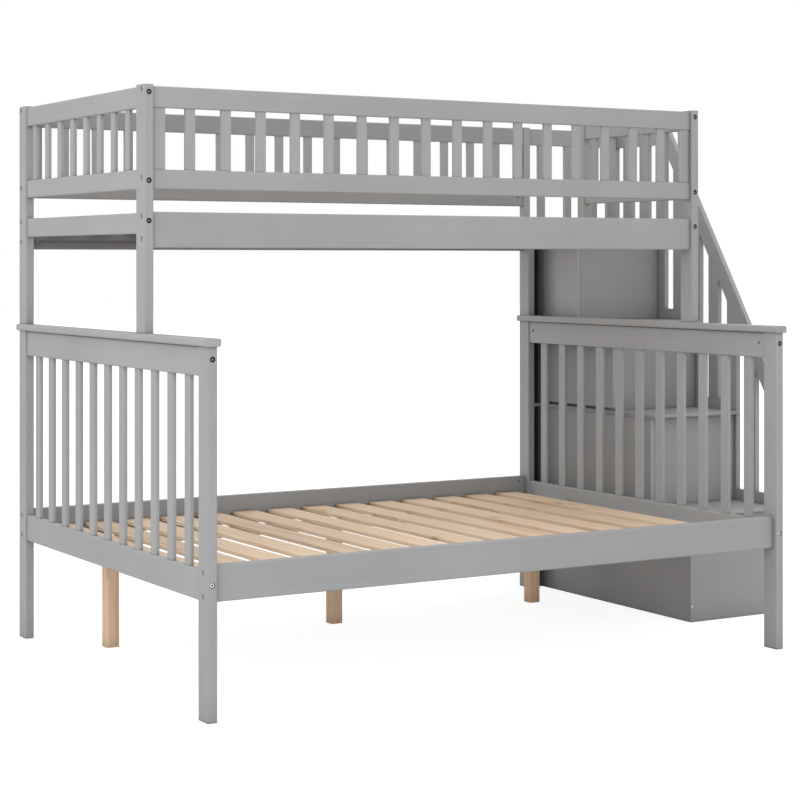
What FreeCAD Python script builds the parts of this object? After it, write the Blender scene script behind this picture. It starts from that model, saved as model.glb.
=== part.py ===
import FreeCAD, Part
import math
import os
import re
import Sketcher

# Twin-over-full bunk bed with a storage staircase at its right-hand end.
# Lengths are in millimetres. The bed is laid out with X along it from the outer face
# of the left posts, Y from the front face of the lower posts to the back, and Z up
# from the floor. Each piece is then placed so that the origin is on the floor, below
# the middle of the whole.

SIZES = {
    # Overall sizes of the two bunks.
    "bed_long": 2008,
    "bed_wide": 1480,
    "upper_wide": 1050,
    # Posts, with the longer side of their section along Y.
    "post_thick": 29,
    "post_deep": 62.5,
    "post_low_top": 1008,
    "edge_round": 4,
    "entry_cut_deep": 32.5,
    # Boards that cap the two ends of the lower bunk.
    "cap_thick": 22,
    "cap_over_side": 8,
    "cap_over_end": 6,
    "cap_round": 6,
    # Rails of the lower bunk.
    "rail_low": 321,
    "rail_deep": 101,
    "rail_thick": 22,
    "rail_recess": 17,
    "end_rail_thick": 20,
    "end_bottom_deep": 84,
    "end_top_deep": 81,
    "end_slat_count": 11,
    "end_slat_gap": 70,
    "end_slat_wide": 40,
    "spindle_thick": 12,
    "spindle_round": 3,
    # Rails and guards of the upper bunk.
    "upper_lift": 245,
    "upper_rail_deep": 104,
    "upper_rail_thick": 18,
    "upper_rail_recess": 10,
    "upper_end_rise": 41,
    "upper_end_deep": 60,
    "guard_gap": 65,
    "guard_low_deep": 57,
    "guard_top_deep": 62,
    "post_over": 4,
    "guard_slat_tall": 177,
    "guard_slat_count": 16,
    "guard_slat_gap": 62,
    "guard_slat_wide": 32,
    "stile_wide": 42,
    "left_slat_count": 8,
    "left_front_gap": 71.5,
    "left_back_gap": 43.5,
    "right_slat_count": 5,
    "right_front_gap": 87,
    "right_back_gap": 32,
    "entry_wide": 319.5,
    "entry_post_wide": 43,
    # Slatted bases, their ledges, and the beam with its legs.
    "ledge_side": 25,
    "ledge_play": 1,
    "low_ledge_rise": 7,
    "high_ledge_rise": 30,
    "slat_thick": 12,
    "slat_wide": 90,
    "slat_count": 14,
    "slat_gap": 46,
    "slat_play": 4,
    "slat_round": 2,
    "beam_inset": 325,
    "beam_wide": 46,
    "beam_deep": 30,
    "leg_side": 46,
    "leg_round": 10,
    "leg_inset": 161,
    # Bolts, barrel nuts and dowels of the knock-down joints.
    "bolt_shank": 6,
    "bolt_head": 14,
    "head_thick": 4,
    "head_recess": 2,
    "head_play": 1,
    "bolt_play": 0.25,
    "bolt_reach": 38,
    "bore_over": 4,
    "nut_size": 10,
    "nut_long": 12,
    "nut_inset": 27,
    "nut_play": 0.2,
    "socket_size": 5,
    "socket_deep": 2.5,
    "side_bolt_gap": 64,
    "low_side_bolt": 16,
    "high_side_bolt": 26,
    "end_bottom_bolt": 48,
    "end_top_bolt": 47,
    "upper_end_bolt": 37,
    "guard_top_bolt": 48,
    "bolt_stagger": 4,
    "thread_play": 0.1,
    "dowel_size": 8,
    "dowel_play": 0.1,
    "dowel_reach": 24,
    "dowel_gap": 32,
    # Staircase: treads, panels and cubbies.
    "step_count": 4,
    "base_height": 54,
    "step_rise": 321,
    "step_run": 225,
    "stair_deep": 960,
    "stair_gap": 38,
    "stair_clear": 362,
    "panel_thick": 15,
    "board_thick": 12,
    "board_round": 4,
    "back_thick": 12,
    "tread_nose": 29,
    "tread_side_over": 6,
    # Face frame, balusters and handrail on the outer side of the staircase.
    "face_thick": 18,
    "face_drop": 30,
    "curb_rise": 40,
    "face_stile_wide": 30,
    "baluster_front_gap": 108,
    "baluster_back_gap": 63,
    "baluster_wide": 54,
    "handrail_wide": 55,
    "handrail_slope": 1.542,
    "handrail_foot_inset": 40,
    "handrail_head_inset": 621,
    "nose_round": 120,
    "heel_round": 10,
    # Guard at the back of the landing.
    "landing_thick": 18,
    "landing_slat_count": 3,
    "landing_slat_first": 11,
    "landing_slat_pitch": 122.5,
    "landing_slat_wide": 30,
    "corner_wide": 62,
    # Strips and screws that tie the staircase to the bed.
    "strip_deep": 24,
    "strip_clear": 1,
    "screw_head": 10,
    "screw_head_deep": 2,
    "screw_shank": 4,
    "screw_play": 0.2,
    "screw_reach": 15,
    "screw_edge": 54,
}

doc = FreeCAD.newDocument("BunkBed")
sheet = doc.addObject("Spreadsheet::Sheet", "Size")
for row, (alias, value) in enumerate(SIZES.items(), start=1):
    sheet.set("A%d" % row, alias)
    sheet.set("B%d" % row, str(value))
    sheet.setAlias("B%d" % row, alias)
doc.recompute()

# Places and pitches that follow from the sizes, each worked out once.
PLACES = {
    "cap_top": "post_low_top + cap_thick",
    "rail_long": "bed_long - 2 * post_thick",
    "end_inset": "post_thick / 2 - end_rail_thick / 2",
    "end_span": "bed_wide - 2 * post_deep",
    "end_slat_low": "rail_low + end_bottom_deep",
    "end_slat_first": "post_deep + end_slat_gap",
    "end_slat_pitch": "(end_span - 2 * end_slat_gap - end_slat_wide) / (end_slat_count - 1)",
    "upper_front": "bed_wide - upper_wide",
    "upper_end_from": "upper_front + post_deep",
    "upper_end_span": "upper_wide - 2 * post_deep",
    "upper_rail_low": "cap_top + upper_lift",
    "upper_end_low": "upper_rail_low + upper_end_rise",
    "guard_low": "upper_rail_low + upper_rail_deep + guard_gap",
    "guard_slat_low": "guard_low + guard_low_deep",
    "guard_top_low": "guard_slat_low + guard_slat_tall",
    "upper_top": "guard_top_low + guard_top_deep",
    "post_top": "upper_top + post_over",
    "guard_slat_first": "post_thick + stile_wide + guard_slat_gap",
    "guard_slat_pitch": "(bed_long - 2 * guard_slat_first - guard_slat_wide) / (guard_slat_count - 1)",
    "left_slat_first": "upper_end_from + left_front_gap",
    "left_slat_span": "upper_end_span - left_front_gap - left_back_gap - guard_slat_wide",
    "left_slat_pitch": "left_slat_span / (left_slat_count - 1)",
    "entry_post_at": "bed_wide - post_deep - entry_wide - entry_post_wide",
    "right_slat_first": "upper_end_from + right_front_gap",
    "right_slat_last": "entry_post_at - right_back_gap - guard_slat_wide",
    "right_slat_pitch": "(right_slat_last - right_slat_first) / (right_slat_count - 1)",
    "low_ledge": "rail_low + low_ledge_rise",
    "high_ledge": "upper_rail_low + high_ledge_rise",
    "low_slat_bed": "low_ledge + ledge_side",
    "high_slat_bed": "high_ledge + ledge_side",
    "slat_first": "post_thick + slat_gap",
    "slat_pitch": "(bed_long - 2 * slat_first - slat_wide) / (slat_count - 1)",
    "beam_at": "bed_wide - beam_inset",
    "beam_low": "low_slat_bed - beam_deep",
    "stair_left": "bed_long + stair_gap",
    "stair_inside": "stair_left + panel_thick",
    "face_in": "stair_inside + stair_clear",
    "face_out": "face_in + face_thick",
    "stair_front": "bed_wide - stair_deep",
    "stair_back": "bed_wide - back_thick",
    "first_box_top": "base_height + step_rise - board_thick",
    "landing": "base_height + step_count * step_rise",
    "landing_back": "bed_wide - landing_thick",
    "curb_top": "landing + curb_rise",
    "strip_at": "bed_wide - post_deep",
    "strip_line": "strip_at + strip_deep / 2",
    "baluster_first": "stair_front + baluster_front_gap",
    "baluster_span": "stair_deep - baluster_front_gap - baluster_back_gap - baluster_wide",
    "baluster_pitch": "baluster_span / (2 * step_count - 1)",
    "handrail_foot": "stair_front + handrail_foot_inset",
    "handrail_head": "stair_front + handrail_head_inset",
    "handrail_deep": "handrail_wide * sqrt(1 + handrail_slope ^ 2)",
}
STEPS = int(sheet.step_count)

MIDDLE = ("(face_out - cap_over_side) / 2", "bed_wide / 2", "0")

AXES = {"x": "YZ_Plane", "y": "XZ_Plane", "z": "XY_Plane"}
NODES = []


def tie(text):
    """Spell out the places that an expression names, and tie its sizes to the sheet."""
    def spell(word):
        name = word.group()
        if name in PLACES:
            return "(%s)" % tie(PLACES[name])
        return "Size." + name if name in SIZES else name

    return re.sub("[a-z][a-z_]*[a-z]", spell, text)


def number(text):
    return float(sheet.evalExpression(tie(text)))


def place(piece, corner):
    """Move a piece from the layout's corner to its place about the middle of the whole."""
    for axis, value, middle in zip("xyz", corner, MIDDLE):
        piece.setExpression("Placement.Base." + axis, tie("%s - %s" % (value, middle)))


def new_body(name, corner=("0", "0", "0"), node=True):
    body = doc.addObject("PartDesign::Body", name)
    body.Label = name
    body.AllowCompound = True
    place(body, corner)
    if node:
        NODES.append(body)
    return body


def new_sketch(body, axis, offset="0"):
    """A sketch across one axis of the body, moved along that axis by offset."""
    sketch = body.newObject("Sketcher::SketchObject", body.Name + "_sketch")
    plane = next(item for item in body.Origin.OriginFeatures if item.Role == AXES[axis])
    sketch.AttachmentSupport = [(plane, "")]
    sketch.MapMode = "FlatFace"
    sign = "-" if axis == "y" else ""
    sketch.setExpression("AttachmentOffset.Base.z", tie("%s(%s)" % (sign, offset)))
    return sketch


def bind(sketch, kind, *data):
    """Add a constraint whose last item is an expression in the named sizes."""
    index = sketch.addConstraint(Sketcher.Constraint(kind, *data[:-1], number(data[-1])))
    sketch.setExpression("Constraints[%d]" % index, tie(data[-1]))


def draw_rounded(sketch, wide, high, radius):
    """A rectangle with round corners, its lower left corner at the sketch's origin."""
    w, h, r = number(wide), number(high), number(radius)
    point = FreeCAD.Vector
    up = point(0, 0, 1)

    def line(x0, y0, x1, y1):
        sketch.addGeometry(Part.LineSegment(point(x0, y0, 0), point(x1, y1, 0)))

    def arc(x, y, quarter):
        circle = Part.Circle(point(x, y, 0), up, r)
        start = quarter * math.pi / 2
        sketch.addGeometry(Part.ArcOfCircle(circle, start, start + math.pi / 2))

    line(r, 0, w - r, 0)
    arc(w - r, r, 3)
    line(w, r, w, h - r)
    arc(w - r, h - r, 0)
    line(w - r, h, r, h)
    arc(r, h - r, 1)
    line(0, h - r, 0, r)
    arc(r, r, 2)
    for piece in range(8):
        sketch.addConstraint(Sketcher.Constraint("Tangent", piece, 2, (piece + 1) % 8, 1))
    for piece in (0, 4):
        sketch.addConstraint(Sketcher.Constraint("Horizontal", piece))
    for piece in (2, 6):
        sketch.addConstraint(Sketcher.Constraint("Vertical", piece))
    for piece in (3, 5, 7):
        sketch.addConstraint(Sketcher.Constraint("Equal", 1, piece))
    sketch.addConstraint(Sketcher.Constraint("PointOnObject", 0, 1, -1))
    sketch.addConstraint(Sketcher.Constraint("PointOnObject", 6, 1, -2))
    bind(sketch, "Radius", 1, radius)
    bind(sketch, "DistanceX", 6, 1, 2, 1, wide)
    bind(sketch, "DistanceY", 0, 1, 4, 1, high)


def draw_outline(sketch, corners):
    """A closed outline of straight lines through corners, each a pair of expressions."""
    places = [FreeCAD.Vector(number(a), number(b), 0) for a, b in corners]
    count = len(places)
    for index in range(count):
        sketch.addGeometry(Part.LineSegment(places[index], places[(index + 1) % count]))
    for index, (a, b) in enumerate(corners):
        sketch.addConstraint(Sketcher.Constraint("Coincident", index, 2, (index + 1) % count, 1))
        bind(sketch, "DistanceX", -1, 1, index, 1, a)
        bind(sketch, "DistanceY", -1, 1, index, 1, b)


def draw_circles(sketch, centers, diameter):
    for index, (a, b) in enumerate(centers):
        middle = FreeCAD.Vector(number(a), number(b), 0)
        up = FreeCAD.Vector(0, 0, 1)
        sketch.addGeometry(Part.Circle(middle, up, number(diameter) / 2))
        bind(sketch, "DistanceX", -1, 1, index, 3, a)
        bind(sketch, "DistanceY", -1, 1, index, 3, b)
        bind(sketch, "Diameter", index, diameter)


def grow(body, sketch, axis, length, forward=True):
    """Pad a sketch along its axis, forward meaning towards the larger coordinate."""
    pad = body.newObject("PartDesign::Pad", body.Name + "_pad")
    pad.Profile = sketch
    pad.setExpression("Length", tie(length))
    pad.Reversed = forward == (axis == "y")
    sketch.Visibility = False
    return pad


def carve(body, sketch, axis, length, forward=True):
    """Pocket a sketch along its axis, forward meaning towards the larger coordinate."""
    pocket = body.newObject("PartDesign::Pocket", body.Name + "_pocket")
    pocket.Profile = sketch
    pocket.setExpression("Length", tie(length))
    pocket.Reversed = forward != (axis == "y")
    return pocket


def repeat(body, feature, axis, count, pitch):
    """Repeat a feature count times along one axis of the body."""
    pattern = body.newObject("PartDesign::LinearPattern", body.Name + "_pattern")
    pattern.Originals = [feature]
    role = axis.upper() + "_Axis"
    line = next(item for item in body.Origin.OriginFeatures if item.Role == role)
    pattern.Direction = (line, [""])
    pattern.setExpression("Occurrences", tie(count))
    pattern.setExpression("Length", tie("(%s - 1) * %s" % (count, pitch)))
    body.Tip = pattern
    return pattern


def board(name, corner, size, along, radius="edge_round", node=True):
    """A straight board with eased long edges, along one axis, from its low corner."""
    body = new_body(name, corner, node)
    across = [size["xyz".index(axis)] for axis in "xyz" if axis != along]
    sketch = new_sketch(body, along)
    draw_rounded(sketch, across[0], across[1], radius)
    grow(body, sketch, along, size["xyz".index(along)])
    return body


def row(name, corner, size, along, step, count, pitch, radius):
    """Equal boards in a row, as one group of separate solids."""
    body = board(name, corner, size, along, radius)
    repeat(body, body.Tip, step, count, pitch)
    return body


def group(name, pieces):
    """Pieces of one kind under one name."""
    compound = doc.addObject("Part::Compound", name)
    compound.Label = name
    compound.Links = pieces
    NODES.append(compound)
    return compound


def bore(body, face, span, centers, diameter, depth):
    """Round holes into the body from one of its faces, such as x0 or y1."""
    axis, far = face[0], face[1] == "1"
    sketch = new_sketch(body, axis, span if far else "0")
    draw_circles(sketch, centers, diameter)
    carve(body, sketch, axis, depth, forward=not far)


def bolt_seat(body, face, span, centers):
    """Clearance holes through a post, each with a seat that sinks the bolt's head."""
    bore(body, face, span, centers, "bolt_shank + 2 * bolt_play", span)
    bore(body, face, span, centers, "bolt_head + 2 * head_play", "head_thick + head_recess")


# Heights of the bolts. Those along X hold the long rails, and those along Y the
# rails of the ends. Where both meet in a post they are staggered to pass each other.
LOW_SIDE_BOLTS = ["rail_low + low_side_bolt", "rail_low + low_side_bolt + side_bolt_gap"]
HIGH_SIDE_BOLTS = ["upper_rail_low + high_side_bolt",
                   "upper_rail_low + high_side_bolt + side_bolt_gap"]
GUARD_SIDE_BOLTS = ["guard_low + guard_low_deep / 2 + bolt_stagger",
                    "upper_top - guard_top_deep + guard_top_bolt + bolt_stagger"]
LOW_END_BOLTS = ["rail_low + end_bottom_bolt", "post_low_top - end_top_deep + end_top_bolt"]
HIGH_END_BOLT = ["upper_end_low + upper_end_bolt"]
GUARD_END_BOLTS = ["guard_low + guard_low_deep / 2 - bolt_stagger",
                   "upper_top - guard_top_deep + guard_top_bolt - bolt_stagger"]
LOW_SIDE_LINE = "rail_recess + rail_thick / 2"
HIGH_SIDE_LINE = "upper_rail_recess + upper_rail_thick / 2"


def post(name, right, back, front, floor, top, side_line, side_bolts, end_bolts):
    """One corner post, drilled for the bolts of the rails that meet it."""
    corner = ("bed_long - post_thick" if right else "0",
              "bed_wide - post_deep" if back else front, floor)
    tall = "%s - %s" % (top, floor)
    body = board(name, corner, ("post_thick", "post_deep", tall), "z")
    across = "post_deep - (%s)" % side_line if back else side_line
    side_centers = [(across, "%s - %s" % (at, floor)) for at in side_bolts]
    end_centers = [("post_thick / 2", "%s - %s" % (at, floor)) for at in end_bolts]
    bolt_seat(body, "x1" if right else "x0", "post_thick", side_centers)
    bolt_seat(body, "y1" if back else "y0", "post_deep", end_centers)
    return body


def dowel_holes(body, face, span, centers):
    bore(body, face, span, centers, "dowel_size + 2 * dowel_play", "dowel_reach")


def strip_low(level):
    """Foot of the joining strip beside one level of the staircase."""
    below = {1: "0", STEPS: "cap_top"}.get(level, tread_top(level - 1))
    return "(%s + strip_clear)" % below


def strip_tall(level):
    return "(%s - board_thick - strip_clear - %s)" % (tread_top(level), strip_low(level))


def screw_pair(level, y, floor):
    """Places of the two screws of a joining strip, with heights counted from floor."""
    low, tall = strip_low(level), strip_tall(level)
    return [(y, "%s + %s * %s - %s" % (low, tall, share, floor)) for share in ("0.25", "0.75")]


def screw_holes(body, face, span, centers, depth):
    bore(body, face, span, centers, "screw_shank + 2 * screw_play", depth)


def screw_seats(body, face, span, centers):
    bore(body, face, span, centers, "screw_head + 2 * screw_play", "screw_head_deep")


def dowel_pair(middle):
    return ["%s - dowel_gap / 2" % middle, "%s + dowel_gap / 2" % middle]


def build_posts():
    for right in (False, True):
        side = "right" if right else "left"
        for back in (False, True):
            end = "back" if back else "front"
            low = post("lower_post_%s_%s" % (end, side), right, back, "0", "0", "post_low_top",
                       LOW_SIDE_LINE, LOW_SIDE_BOLTS, LOW_END_BOLTS)
            if back:
                dowel_holes(low, "z1", "post_low_top",
                            [("post_thick / 2", y) for y in dowel_pair("post_deep / 2")])
            ends = HIGH_END_BOLT if right and back else HIGH_END_BOLT + GUARD_END_BOLTS
            high = post("upper_post_%s_%s" % (end, side), right, back, "upper_front", "cap_top",
                        "post_top", HIGH_SIDE_LINE, HIGH_SIDE_BOLTS + GUARD_SIDE_BOLTS, ends)
            dowel_holes(high, "z0", "0",
                        [("post_thick / 2", y) for y in dowel_pair("post_deep / 2")])
            if right and back:
                for level in range(1, STEPS + 1):
                    piece, floor = (high, "cap_top") if level == STEPS else (low, "0")
                    screw_holes(piece, "x1", "post_thick",
                                screw_pair(level, "strip_deep / 2", floor), "screw_reach")
                # The front half of this post stops at the rail, so that the way in
                # from the landing is wider.
                low_z = "upper_rail_low + upper_rail_deep - cap_top"
                high_z = "post_top - cap_top + edge_round"
                sketch = new_sketch(high, "x", "0 - edge_round")
                draw_outline(sketch, [("0 - edge_round", low_z), ("entry_cut_deep", low_z),
                                      ("entry_cut_deep", high_z), ("0 - edge_round", high_z)])
                carve(high, sketch, "x", "post_thick + 2 * edge_round")


def rail(name, corner, size, along, bolts, inner, ends=("0", "1"), node=True):
    """A rail with a bolt bore and a barrel nut's cross bore at each bolted end."""
    body = board(name, corner, size, along, node=node)
    index = "xyz".index(along)
    long = size[index]
    thick = size[1 - index]
    heights = ["%s - (%s)" % (at, corner[2]) for at in bolts]
    for end in ends:
        bore(body, along + end, long, [("(%s) / 2" % thick, z) for z in heights],
             "bolt_shank + 2 * bolt_play", "bolt_reach + bore_over")
        near = "nut_inset" if end == "0" else "%s - nut_inset" % long
        bore(body, inner, thick, [(near, z) for z in heights],
             "nut_size + 2 * nut_play", "(%s) / 2 + nut_long / 2 + nut_play" % thick)
    return body


def build_lower_bunk():
    for back in (False, True):
        name = "back" if back else "front"
        y = "bed_wide - rail_recess - rail_thick" if back else "rail_recess"
        rail("lower_side_rail_" + name, ("post_thick", y, "rail_low"),
             ("rail_long", "rail_thick", "rail_deep"), "x", LOW_SIDE_BOLTS, "y0" if back else "y1")
    for right in (False, True):
        name = "right" if right else "left"
        x = "bed_long - end_inset - end_rail_thick" if right else "end_inset"
        inner = "x0" if right else "x1"
        rail("end_bottom_rail_" + name, (x, "post_deep", "rail_low"),
             ("end_rail_thick", "end_span", "end_bottom_deep"), "y", LOW_END_BOLTS[:1], inner)
        top = rail("end_top_rail_" + name, (x, "post_deep", "post_low_top - end_top_deep"),
                   ("end_rail_thick", "end_span", "end_top_deep"), "y", LOW_END_BOLTS[1:], inner)
        dowel_holes(top, "z1", "end_top_deep",
                    [("end_rail_thick / 2", y) for y in dowel_pair("upper_front - post_deep / 2")])
        edge = "bed_long - post_thick - cap_over_side" if right else "0 - cap_over_side"
        cap = board("end_cap_" + name, (edge, "0 - cap_over_end", "post_low_top"),
                    ("post_thick + 2 * cap_over_side", "bed_wide + 2 * cap_over_end", "cap_thick"),
                    "y", "cap_round")
        marks = dowel_pair("cap_over_end + upper_front + post_deep / 2")
        marks += dowel_pair("cap_over_end + bed_wide - post_deep / 2")
        bore(cap, "z0", "0", [("cap_over_side + post_thick / 2", y) for y in marks],
             "dowel_size + 2 * dowel_play", "cap_thick")
    rows = []
    for x in ("post_thick / 2 - spindle_thick / 2",
              "bed_long - post_thick / 2 - spindle_thick / 2"):
        body = board("end_slat_row", (x, "end_slat_first", "end_slat_low"),
                     ("spindle_thick", "end_slat_wide", "post_low_top - end_top_deep - end_slat_low"),
                     "z", "spindle_round", node=False)
        repeat(body, body.Tip, "y", "end_slat_count", "end_slat_pitch")
        rows.append(body)
    group("end_panel_slats", rows)


def build_bed_bases():
    ledges = []
    low_in = "rail_recess + rail_thick"
    high_in = "upper_rail_recess + upper_rail_thick"
    for y, z in ((low_in, "low_ledge"),
                 ("bed_wide - (%s) - ledge_side" % low_in, "low_ledge"),
                 ("upper_front + %s" % high_in, "high_ledge"),
                 ("bed_wide - (%s) - ledge_side" % high_in, "high_ledge")):
        ledges.append(board("ledge", ("post_thick + ledge_play", y, z),
                            ("rail_long - 2 * ledge_play", "ledge_side", "ledge_side"),
                            "x", "slat_round", node=False))
    group("slat_ledges", ledges)
    row("lower_base_slats", ("slat_first", low_in + " + slat_play", "low_slat_bed"),
        ("slat_wide", "bed_wide - 2 * (%s) - 2 * slat_play" % low_in, "slat_thick"),
        "y", "x", "slat_count", "slat_pitch", "slat_round")
    row("upper_base_slats", ("slat_first", "upper_front + %s + slat_play" % high_in, "high_slat_bed"),
        ("slat_wide", "upper_wide - 2 * (%s) - 2 * slat_play" % high_in, "slat_thick"),
        "y", "x", "slat_count", "slat_pitch", "slat_round")
    inner = "end_inset + end_rail_thick"
    board("support_beam", (inner, "beam_at - beam_wide / 2", "beam_low"),
          ("bed_long - 2 * (%s)" % inner, "beam_wide", "beam_deep"), "x", "slat_round")
    row("support_legs", ("post_thick + leg_inset - leg_side / 2", "beam_at - leg_side / 2", "0"),
        ("leg_side", "leg_side", "beam_low"), "z", "x", "3",
        "(bed_long / 2 - post_thick - leg_inset)", "leg_round")


def build_upper_bunk():
    stiles = []
    rows = []
    for back in (False, True):
        name = "back" if back else "front"
        recess = "upper_rail_recess"
        y = ("bed_wide - %s - upper_rail_thick" if back else "upper_front + %s") % recess
        inner = "y0" if back else "y1"
        for kind, low, deep, bolts in (
                ("upper_side_rail_", "upper_rail_low", "upper_rail_deep", HIGH_SIDE_BOLTS),
                ("guard_bottom_rail_", "guard_low", "guard_low_deep", GUARD_SIDE_BOLTS[:1]),
                ("guard_top_rail_", "guard_top_low", "guard_top_deep", GUARD_SIDE_BOLTS[1:])):
            rail(kind + name, ("post_thick", y, low), ("rail_long", "upper_rail_thick", deep),
                 "x", bolts, inner)
        middle = "%s + upper_rail_thick / 2 - spindle_thick / 2" % y
        body = board("guard_slat_row", ("guard_slat_first", middle, "guard_slat_low"),
                     ("guard_slat_wide", "spindle_thick", "guard_slat_tall"), "z",
                     "spindle_round", node=False)
        repeat(body, body.Tip, "x", "guard_slat_count", "guard_slat_pitch")
        rows.append(body)
        for x in ("post_thick", "bed_long - post_thick - stile_wide"):
            stiles.append(board("guard_stile", (x, middle, "guard_slat_low"),
                                ("stile_wide", "spindle_thick", "guard_slat_tall"), "z",
                                "spindle_round", node=False))
    group("guard_slats", rows)
    group("guard_end_stiles", stiles)


def build_upper_ends():
    end_rails = []
    for right in (False, True):
        x = "bed_long - end_inset - end_rail_thick" if right else "end_inset"
        inner = "x0" if right else "x1"
        end_rails.append(rail("upper_end_rail", (x, "upper_end_from", "upper_end_low"),
                              ("end_rail_thick", "upper_end_span", "upper_end_deep"), "y",
                              HIGH_END_BOLT, inner, node=False))
        span = "entry_post_at - upper_end_from" if right else "upper_end_span"
        for kind, low, deep, bolts in (
                ("guard_bottom_rail_", "guard_low", "guard_low_deep", GUARD_END_BOLTS[:1]),
                ("guard_top_rail_", "guard_top_low", "guard_top_deep", GUARD_END_BOLTS[1:])):
            rail(kind + ("right" if right else "left"), (x, "upper_end_from", low),
                 ("end_rail_thick", span, deep), "y", bolts, inner,
                 ends=("0",) if right else ("0", "1"))
    group("upper_end_rails", end_rails)
    for side, x in (("left", "post_thick / 2 - spindle_thick / 2"),
                    ("right", "bed_long - post_thick / 2 - spindle_thick / 2")):
        row("guard_slats_" + side, (x, side + "_slat_first", "guard_slat_low"),
            ("spindle_thick", "guard_slat_wide", "guard_slat_tall"), "z", "y",
            side + "_slat_count", side + "_slat_pitch", "spindle_round")
    base = "upper_end_low + upper_end_deep"
    board("entry_post", ("bed_long - post_thick", "entry_post_at", base),
          ("post_thick", "entry_post_wide", "upper_top - (%s)" % base), "z")


def tread_top(level):
    return "(base_height + %d * step_rise)" % level


def riser_at(level):
    return "(stair_front + %d * step_run)" % (level - 1)


def baluster_at(index):
    return "(baluster_first + %d * baluster_pitch)" % index


def build_stair_boxes():
    """Stepped carcass: a box for each step, closed towards the bed and open outwards."""
    edge = "panel_thick / 2"
    edge_screws = [(edge, "screw_edge"), (edge, "first_box_top - screw_edge")]
    board("stair_base_board",
          ("stair_inside", "stair_front + panel_thick", "base_height - board_thick"),
          ("stair_clear", "stair_back - stair_front - panel_thick", "board_thick"),
          "x", "slat_round")
    front_panel = board("stair_front_panel", ("stair_left", "stair_front", "0"),
                        ("panel_thick + stair_clear", "panel_thick", "first_box_top"), "z",
                        "slat_round")
    screw_holes(front_panel, "y0", "0", edge_screws, "panel_thick")
    screw_seats(front_panel, "y0", "0", edge_screws)
    board("stair_back_panel", ("stair_left", "stair_back", "0"),
          ("panel_thick + stair_clear", "back_thick", "landing - board_thick"),
          "z", "slat_round")
    panels = []
    uprights = []
    for level in range(1, STEPS + 1):
        floor = "0" if level == 1 else tread_top(level - 1)
        front = "stair_front + panel_thick" if level == 1 else riser_at(level)
        tall = "%s - board_thick - %s" % (tread_top(level), floor)
        panel = board("stair_side_panel", ("stair_left", front, floor),
                      ("panel_thick", "stair_back - (%s)" % front, tall),
                      "z", "slat_round", node=False)
        if level == 1:
            screw_holes(panel, "y0", "0", edge_screws, "screw_reach")
        spots = screw_pair(level, "strip_line - (%s)" % front, floor)
        screw_holes(panel, "x0", "0", spots, "panel_thick")
        screw_seats(panel, "x1", "panel_thick", spots)
        panels.append(panel)
        for riser in range(max(level, 2), STEPS + 1):
            uprights.append(board("stair_upright",
                                  ("stair_inside", riser_at(riser), tread_top(level - 1)),
                                  ("stair_clear", "panel_thick", "step_rise - board_thick"),
                                  "z", "slat_round", node=False))
        back = "bed_wide" if level == STEPS else "stair_back"
        start = "%s - tread_nose" % riser_at(level)
        board("tread_%d" % level, ("stair_left - tread_side_over", start,
                                   tread_top(level) + " - board_thick"),
              ("tread_side_over + panel_thick + stair_clear", "%s - (%s)" % (back, start),
               "board_thick"), "x", "board_round")
    group("stair_side_panels", panels)
    group("stair_risers_and_dividers", uprights)


def build_stair_face():
    """Frame of rails and stiles on the outer side, round the mouths of the cubbies."""
    rails = []
    stiles = []
    for level in range(STEPS + 1):
        low = "0" if level == 0 else tread_top(level) + " - face_drop"
        front = "stair_front" if level < 2 else baluster_at(2 * level - 3) + " + baluster_wide"
        rails.append(board("stair_face_rail", ("face_in", front, low),
                           ("face_thick", "bed_wide - (%s)" % front,
                            "%s + curb_rise - (%s)" % (tread_top(level), low)),
                           "y", "slat_round", node=False))
        if level == 0:
            continue
        places = [riser_at(riser) for riser in range(level + (level > 1), STEPS + 1)]
        for y in places + ["bed_wide - face_stile_wide"]:
            stiles.append(board("stair_face_stile",
                                ("face_in", y, tread_top(level - 1) + " + curb_rise"),
                                ("face_thick", "face_stile_wide",
                                 "step_rise - curb_rise - face_drop"),
                                "z", "slat_round", node=False))
    group("stair_face_rails", rails)
    group("stair_face_stiles", stiles)


JOINT_Y = "(%s + baluster_wide)" % baluster_at(1)


def rake_top(y):
    """Height of the handrail's top edge over a place along Y."""
    return "(upper_top - handrail_slope * (handrail_head - (%s)))" % y


def rake_low(y):
    return "(%s - handrail_deep)" % rake_top(y)


JOINT_Z = rake_low(JOINT_Y)
JOINT_TOP_Y = "(%s - handrail_deep / handrail_slope)" % JOINT_Y
MITRE_Y = "(handrail_head + (handrail_deep - guard_top_deep) / handrail_slope)"


def flat_piece(name, corners, node=True):
    """A piece cut to an outline from a board in the plane of the staircase's face."""
    body = new_body(name, ("face_in", "0", "0"), node)
    sketch = new_sketch(body, "x")
    draw_outline(sketch, corners)
    grow(body, sketch, "x", "face_thick")
    return body


def edges_at(shape, y, z):
    """Names of the edges across the board that stand at one corner of its outline."""
    names = []
    for index, edge in enumerate(shape.Edges, start=1):
        ends = [vertex.Point for vertex in edge.Vertexes]
        if all(abs(end.y - y) < 0.01 and abs(end.z - z) < 0.01 for end in ends):
            names.append("Edge%d" % index)
    return names


def round_corner(body, y, z, radius):
    doc.recompute()
    solid = body.Tip
    feature = body.newObject("PartDesign::Fillet", body.Name + "_round")
    feature.Base = (solid, edges_at(solid.Shape, number(y), number(z)))
    feature.setExpression("Radius", tie(radius))
    body.Tip = feature


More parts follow.
